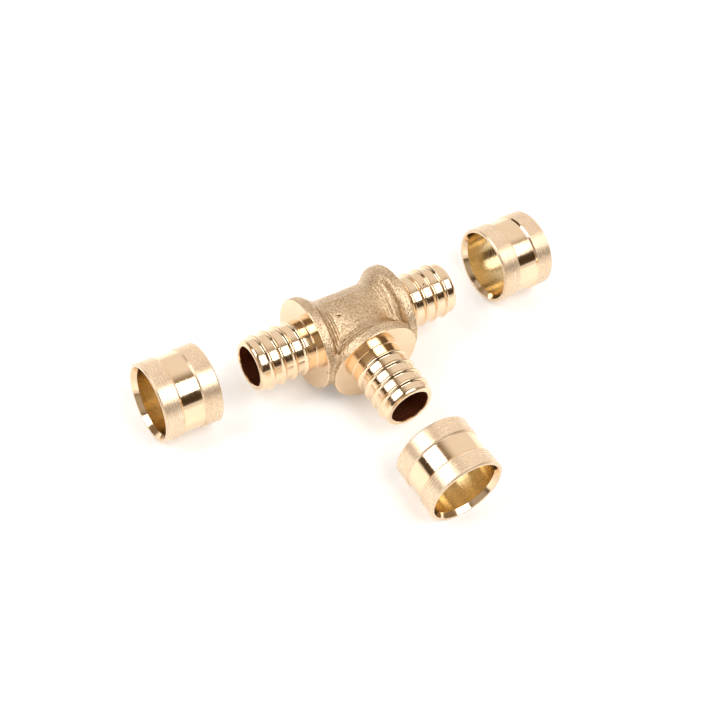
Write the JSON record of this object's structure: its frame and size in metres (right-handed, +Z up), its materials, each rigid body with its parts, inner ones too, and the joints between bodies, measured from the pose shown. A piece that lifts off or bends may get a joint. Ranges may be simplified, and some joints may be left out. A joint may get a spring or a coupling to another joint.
{
  "type": "pex compression sleeve tee",
  "caption": "Brass tee for plastic pipe with ribbed barbs and stop collars, and the compression sleeves for its ports lying loose in line with them.",
  "frame": {"origin": "where the axes of the run and the branch cross, at the centre of the tee", "axes": "+X along the run, towards the right port; the branch points to -Y; +Z up from the surface the collars and sleeves lie on"},
  "size_m": [0.1496, 0.0885, 0.031],
  "materials": {
    "forged_brass": "forged, sandblasted body with turned barbs and collar faces",
    "turned_brass": "turned, bright, with a polished centre band"
  },
  "bodies": {
    "root": {"tee_body": "forged_brass", "sleeve_left": "turned_brass", "sleeve_right": "turned_brass", "sleeve_branch": "turned_brass"}
  },
  "joints": []
}
